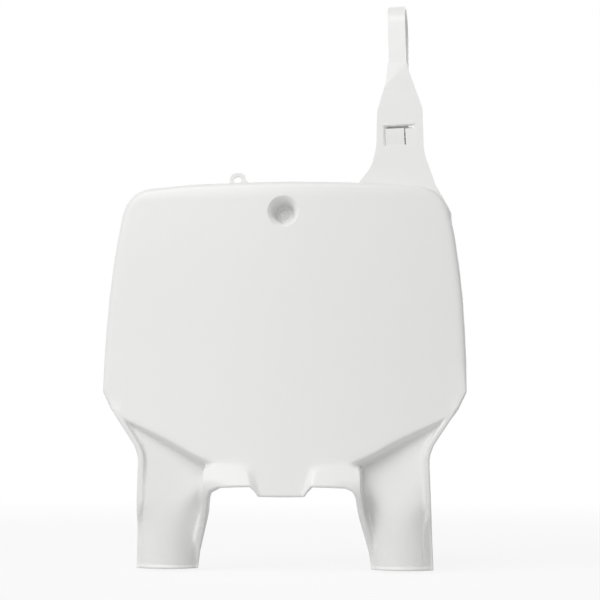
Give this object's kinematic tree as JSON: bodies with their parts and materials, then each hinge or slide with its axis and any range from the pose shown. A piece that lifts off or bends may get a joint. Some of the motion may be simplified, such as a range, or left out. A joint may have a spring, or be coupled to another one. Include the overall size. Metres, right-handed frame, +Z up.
{
  "type": "racing number board",
  "caption": "White moulded front number board for an off-road motorcycle, with fork guards, a mounting spigot and a ratchet strap.",
  "frame": {"origin": "centre of the round recess, on the face of the board", "axes": "-Y out of the face towards the viewer, +Y along the spigot towards the steering head, +X to the side with the strap, +Z up"},
  "size_m": [0.2478, 0.0556, 0.3921],
  "materials": {
    "plastic": "moulded white polypropylene with a soft gloss"
  },
  "bodies": {
    "root": {"number_board": "plastic"}
  },
  "joints": []
}
